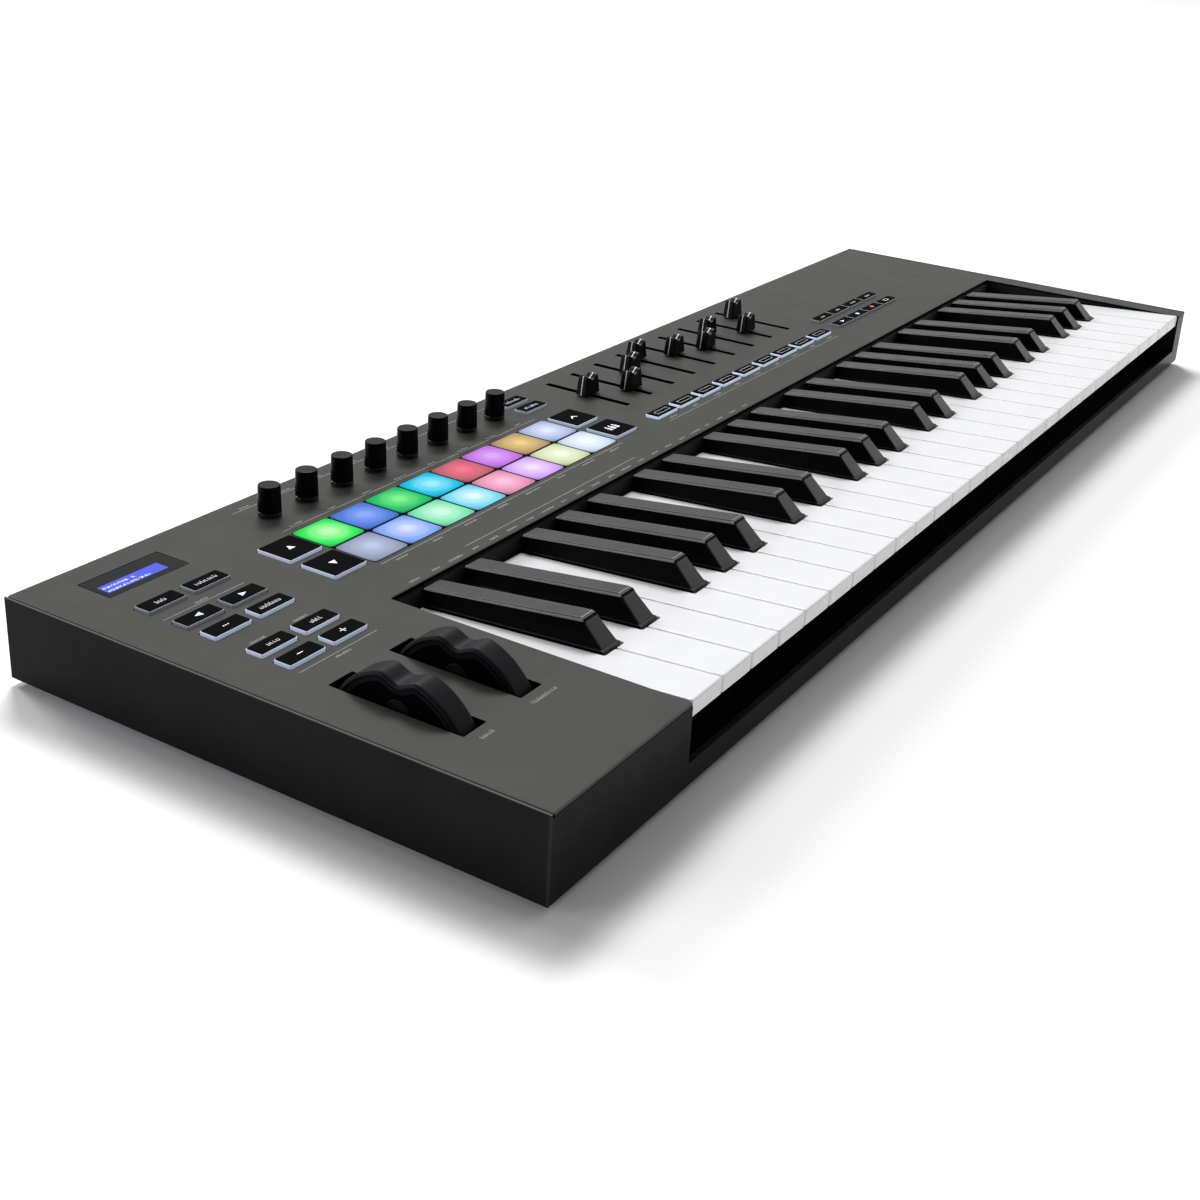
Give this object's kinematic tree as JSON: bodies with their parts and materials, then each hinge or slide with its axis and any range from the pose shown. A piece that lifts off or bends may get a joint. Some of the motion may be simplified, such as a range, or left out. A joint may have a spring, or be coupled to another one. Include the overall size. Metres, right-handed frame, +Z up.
{
  "type": "keyboard synthesizer controller",
  "caption": "Slim keyboard with white and black piano keys, lit pads, knobs, faders, buttons, a small display and two wheels.",
  "frame": {"origin": "middle of the footprint, on the surface that the four feet stand on", "axes": "+X along the keys from low notes to high, +Y from the front edge to the back, +Z up"},
  "size_m": [0.789, 0.258, 0.0534],
  "materials": {
    "panel_plastic": "fine matte texture, warm dark grey",
    "case_plastic": "fine satin texture, charcoal",
    "white_key_plastic": "smooth gloss, near white",
    "black_key_plastic": "satin top, glossy sides, black",
    "knob_plastic": "satin black",
    "fader_plastic": "satin black with a white line",
    "wheel_rubber": "matte soft-touch black",
    "pad_silicone": "translucent silicone lit from below in many colours",
    "button_silicone": "translucent silicone with a black printed cap",
    "circuit_board": "green solder mask",
    "dust_felt": "black felt strip",
    "display_glass": "polished dark acrylic",
    "lcd_blue": "lit blue liquid crystal",
    "socket_metal": "nickel plated",
    "socket_plastic": "black",
    "foot_rubber": "matte black"
  },
  "bodies": {
    "case": {"bottom_case": "case_plastic", "top_panel": "panel_plastic", "keybed_chassis": "case_plastic", "key_contact_board": "circuit_board", "key_dust_strip": "dust_felt", "control_board": "circuit_board", "display_window": "display_glass", "lcd_module": "lcd_blue", "socket_plate": "case_plastic", "usb_socket": "socket_metal", "midi_out_socket": "socket_plastic", "pedal_jack": "socket_plastic", "wheel_bracket": "case_plastic", "foot_front_left": "foot_rubber", "foot_back_left": "foot_rubber", "foot_front_right": "foot_rubber", "foot_back_right": "foot_rubber"},
    "keys_c_e_g_b_1": {"keys_c_e_g_b_1": "white_key_plastic"},
    "keys_d_f_a_1": {"keys_d_f_a_1": "white_key_plastic"},
    "keys_sharps_1": {"keys_sharps_1": "black_key_plastic"},
    "keys_c_e_g_b_2": {"keys_c_e_g_b_2": "white_key_plastic"},
    "keys_d_f_a_2": {"keys_d_f_a_2": "white_key_plastic"},
    "keys_sharps_2": {"keys_sharps_2": "black_key_plastic"},
    "keys_c_e_g_b_3": {"keys_c_e_g_b_3": "white_key_plastic"},
    "keys_d_f_a_3": {"keys_d_f_a_3": "white_key_plastic"},
    "keys_sharps_3": {"keys_sharps_3": "black_key_plastic"},
    "keys_c_e_g_b_4": {"keys_c_e_g_b_4": "white_key_plastic"},
    "keys_d_f_a_4": {"keys_d_f_a_4": "white_key_plastic"},
    "keys_sharps_4": {"keys_sharps_4": "black_key_plastic"},
    "knob_1": {"knob_1": "knob_plastic"},
    "knob_2": {"knob_2": "knob_plastic"},
    "knob_3": {"knob_3": "knob_plastic"},
    "knob_4": {"knob_4": "knob_plastic"},
    "knob_5": {"knob_5": "knob_plastic"},
    "knob_6": {"knob_6": "knob_plastic"},
    "knob_7": {"knob_7": "knob_plastic"},
    "knob_8": {"knob_8": "knob_plastic"},
    "fader_cap_1": {"fader_cap_1": "fader_plastic"},
    "fader_cap_2": {"fader_cap_2": "fader_plastic"},
    "fader_cap_3": {"fader_cap_3": "fader_plastic"},
    "fader_cap_4": {"fader_cap_4": "fader_plastic"},
    "fader_cap_5": {"fader_cap_5": "fader_plastic"},
    "fader_cap_6": {"fader_cap_6": "fader_plastic"},
    "fader_cap_7": {"fader_cap_7": "fader_plastic"},
    "fader_cap_8": {"fader_cap_8": "fader_plastic"},
    "fader_cap_9": {"fader_cap_9": "fader_plastic"},
    "pitch_wheel": {"pitch_wheel": "wheel_rubber"},
    "modulation_wheel": {"modulation_wheel": "wheel_rubber"},
    "pads_front_row": {"pads_front_row": "pad_silicone"},
    "pads_back_row": {"pads_back_row": "pad_silicone"},
    "shift_settings_buttons": {"shift_settings_buttons": "button_silicone"},
    "track_buttons": {"track_buttons": "button_silicone"},
    "chord_buttons": {"chord_buttons": "button_silicone"},
    "arp_scale_buttons": {"arp_scale_buttons": "button_silicone"},
    "octave_buttons": {"octave_buttons": "button_silicone"},
    "scene_up_down_buttons": {"scene_up_down_buttons": "button_silicone"},
    "launch_stop_buttons": {"launch_stop_buttons": "button_silicone"},
    "device_buttons": {"device_buttons": "button_silicone"},
    "fader_buttons": {"fader_buttons": "button_silicone"},
    "transport_buttons": {"transport_buttons": "button_silicone"}
  },
  "joints": [
    {"name": "keys_c_e_g_b_1_hinge", "type": "hinge", "parent": "case", "child": "keys_c_e_g_b_1", "pos_m": [-0.21999, 0.027, 0.0222], "axis": [1, 0, 0], "range_deg": [0, 3.7], "stiffness_Nm_per_rad": 2, "springref_deg": -8.59},
    {"name": "keys_d_f_a_1_hinge", "type": "hinge", "parent": "case", "child": "keys_d_f_a_1", "pos_m": [-0.21999, 0.027, 0.0177], "axis": [1, 0, 0], "range_deg": [0, 3.7], "stiffness_Nm_per_rad": 1.5, "springref_deg": -8.59},
    {"name": "keys_sharps_1_hinge", "type": "hinge", "parent": "case", "child": "keys_sharps_1", "pos_m": [-0.21999, 0.027, 0.0132], "axis": [1, 0, 0], "range_deg": [0, 3.7], "stiffness_Nm_per_rad": 2, "springref_deg": -8.59},
    {"name": "keys_c_e_g_b_2_hinge", "type": "hinge", "parent": "case", "child": "keys_c_e_g_b_2", "pos_m": [-0.05549, 0.027, 0.0222], "axis": [1, 0, 0], "range_deg": [0, 3.7], "stiffness_Nm_per_rad": 2, "springref_deg": -8.59},
    {"name": "keys_d_f_a_2_hinge", "type": "hinge", "parent": "case", "child": "keys_d_f_a_2", "pos_m": [-0.05549, 0.027, 0.0177], "axis": [1, 0, 0], "range_deg": [0, 3.7], "stiffness_Nm_per_rad": 1.5, "springref_deg": -8.59},
    {"name": "keys_sharps_2_hinge", "type": "hinge", "parent": "case", "child": "keys_sharps_2", "pos_m": [-0.05549, 0.027, 0.0132], "axis": [1, 0, 0], "range_deg": [0, 3.7], "stiffness_Nm_per_rad": 2, "springref_deg": -8.59},
    {"name": "keys_c_e_g_b_3_hinge", "type": "hinge", "parent": "case", "child": "keys_c_e_g_b_3", "pos_m": [0.10901, 0.027, 0.0222], "axis": [1, 0, 0], "range_deg": [0, 3.7], "stiffness_Nm_per_rad": 2, "springref_deg": -8.59},
    {"name": "keys_d_f_a_3_hinge", "type": "hinge", "parent": "case", "child": "keys_d_f_a_3", "pos_m": [0.10901, 0.027, 0.0177], "axis": [1, 0, 0], "range_deg": [0, 3.7], "stiffness_Nm_per_rad": 1.5, "springref_deg": -8.59},
    {"name": "keys_sharps_3_hinge", "type": "hinge", "parent": "case", "child": "keys_sharps_3", "pos_m": [0.10901, 0.027, 0.0132], "axis": [1, 0, 0], "range_deg": [0, 3.7], "stiffness_Nm_per_rad": 2, "springref_deg": -8.59},
    {"name": "keys_c_e_g_b_4_hinge", "type": "hinge", "parent": "case", "child": "keys_c_e_g_b_4", "pos_m": [0.27351, 0.027, 0.0222], "axis": [1, 0, 0], "range_deg": [0, 3.7], "stiffness_Nm_per_rad": 2, "springref_deg": -8.59},
    {"name": "keys_d_f_a_4_hinge", "type": "hinge", "parent": "case", "child": "keys_d_f_a_4", "pos_m": [0.27351, 0.027, 0.0177], "axis": [1, 0, 0], "range_deg": [0, 3.7], "stiffness_Nm_per_rad": 1.5, "springref_deg": -8.59},
    {"name": "keys_sharps_4_hinge", "type": "hinge", "parent": "case", "child": "keys_sharps_4", "pos_m": [0.27351, 0.027, 0.0132], "axis": [1, 0, 0], "range_deg": [0, 3.7], "stiffness_Nm_per_rad": 2, "springref_deg": -8.59},
    {"name": "knob_1_turn", "type": "hinge", "parent": "case", "child": "knob_1", "pos_m": [-0.27047, 0.1063, 0.0384], "axis": [0, 0, 1], "range_deg": [-150, 150]},
    {"name": "knob_2_turn", "type": "hinge", "parent": "case", "child": "knob_2", "pos_m": [-0.24634, 0.1063, 0.0384], "axis": [0, 0, 1], "range_deg": [-150, 150]},
    {"name": "knob_3_turn", "type": "hinge", "parent": "case", "child": "knob_3", "pos_m": [-0.22221, 0.1063, 0.0384], "axis": [0, 0, 1], "range_deg": [-150, 150]},
    {"name": "knob_4_turn", "type": "hinge", "parent": "case", "child": "knob_4", "pos_m": [-0.19808, 0.1063, 0.0384], "axis": [0, 0, 1], "range_deg": [-150, 150]},
    {"name": "knob_5_turn", "type": "hinge", "parent": "case", "child": "knob_5", "pos_m": [-0.17395, 0.1063, 0.0384], "axis": [0, 0, 1], "range_deg": [-150, 150]},
    {"name": "knob_6_turn", "type": "hinge", "parent": "case", "child": "knob_6", "pos_m": [-0.14982, 0.1063, 0.0384], "axis": [0, 0, 1], "range_deg": [-150, 150]},
    {"name": "knob_7_turn", "type": "hinge", "parent": "case", "child": "knob_7", "pos_m": [-0.12569, 0.1063, 0.0384], "axis": [0, 0, 1], "range_deg": [-150, 150]},
    {"name": "knob_8_turn", "type": "hinge", "parent": "case", "child": "knob_8", "pos_m": [-0.10156, 0.1063, 0.0384], "axis": [0, 0, 1], "range_deg": [-150, 150]},
    {"name": "fader_cap_1_slide", "type": "slide", "parent": "case", "child": "fader_cap_1", "axis": [0, 1, 0], "range_m": [-0.0241, 0.0243]},
    {"name": "fader_cap_2_slide", "type": "slide", "parent": "case", "child": "fader_cap_2", "axis": [0, 1, 0], "range_m": [-0.0111, 0.0373]},
    {"name": "fader_cap_3_slide", "type": "slide", "parent": "case", "child": "fader_cap_3", "axis": [0, 1, 0], "range_m": [-0.0269, 0.0215]},
    {"name": "fader_cap_4_slide", "type": "slide", "parent": "case", "child": "fader_cap_4", "axis": [0, 1, 0], "range_m": [-0.0377, 0.0107]},
    {"name": "fader_cap_5_slide", "type": "slide", "parent": "case", "child": "fader_cap_5", "axis": [0, 1, 0], "range_m": [-0.0258, 0.0226]},
    {"name": "fader_cap_6_slide", "type": "slide", "parent": "case", "child": "fader_cap_6", "axis": [0, 1, 0], "range_m": [-0.0177, 0.0307]},
    {"name": "fader_cap_7_slide", "type": "slide", "parent": "case", "child": "fader_cap_7", "axis": [0, 1, 0], "range_m": [-0.0304, 0.018]},
    {"name": "fader_cap_8_slide", "type": "slide", "parent": "case", "child": "fader_cap_8", "axis": [0, 1, 0], "range_m": [-0.0159, 0.0325]},
    {"name": "fader_cap_9_slide", "type": "slide", "parent": "case", "child": "fader_cap_9", "axis": [0, 1, 0], "range_m": [-0.0387, 0.0097]},
    {"name": "pitch_wheel_turn", "type": "hinge", "parent": "case", "child": "pitch_wheel", "pos_m": [-0.36575, -0.047, 0.02], "axis": [1, 0, 0], "range_deg": [-30, 30], "stiffness_Nm_per_rad": 0.08},
    {"name": "modulation_wheel_turn", "type": "hinge", "parent": "case", "child": "modulation_wheel", "pos_m": [-0.3316, -0.047, 0.02], "axis": [1, 0, 0], "range_deg": [-30, 30]},
    {"name": "pads_front_row_press", "type": "slide", "parent": "case", "child": "pads_front_row", "axis": [0, 0, 1], "range_m": [-0.0006, 0], "stiffness_N_per_m": 3000, "springref_m": 0.0005},
    {"name": "pads_back_row_press", "type": "slide", "parent": "case", "child": "pads_back_row", "axis": [0, 0, 1], "range_m": [-0.0006, 0], "stiffness_N_per_m": 3000, "springref_m": 0.0005},
    {"name": "shift_settings_buttons_press", "type": "slide", "parent": "case", "child": "shift_settings_buttons", "axis": [0, 0, 1], "range_m": [-0.0008, 0], "stiffness_N_per_m": 800, "springref_m": 0.0008},
    {"name": "track_buttons_press", "type": "slide", "parent": "case", "child": "track_buttons", "axis": [0, 0, 1], "range_m": [-0.0008, 0], "stiffness_N_per_m": 800, "springref_m": 0.0008},
    {"name": "chord_buttons_press", "type": "slide", "parent": "case", "child": "chord_buttons", "axis": [0, 0, 1], "range_m": [-0.0008, 0], "stiffness_N_per_m": 800, "springref_m": 0.0008},
    {"name": "arp_scale_buttons_press", "type": "slide", "parent": "case", "child": "arp_scale_buttons", "axis": [0, 0, 1], "range_m": [-0.0008, 0], "stiffness_N_per_m": 800, "springref_m": 0.0008},
    {"name": "octave_buttons_press", "type": "slide", "parent": "case", "child": "octave_buttons", "axis": [0, 0, 1], "range_m": [-0.0008, 0], "stiffness_N_per_m": 800, "springref_m": 0.0008},
    {"name": "scene_up_down_buttons_press", "type": "slide", "parent": "case", "child": "scene_up_down_buttons", "axis": [0, 0, 1], "range_m": [-0.0008, 0], "stiffness_N_per_m": 800, "springref_m": 0.0008},
    {"name": "launch_stop_buttons_press", "type": "slide", "parent": "case", "child": "launch_stop_buttons", "axis": [0, 0, 1], "range_m": [-0.0008, 0], "stiffness_N_per_m": 800, "springref_m": 0.0008},
    {"name": "device_buttons_press", "type": "slide", "parent": "case", "child": "device_buttons", "axis": [0, 0, 1], "range_m": [-0.0008, 0], "stiffness_N_per_m": 800, "springref_m": 0.0008},
    {"name": "fader_buttons_press", "type": "slide", "parent": "case", "child": "fader_buttons", "axis": [0, 0, 1], "range_m": [-0.0008, 0], "stiffness_N_per_m": 800, "springref_m": 0.0008},
    {"name": "transport_buttons_press", "type": "slide", "parent": "case", "child": "transport_buttons", "axis": [0, 0, 1], "range_m": [-0.0008, 0], "stiffness_N_per_m": 800, "springref_m": 0.0008}
  ]
}
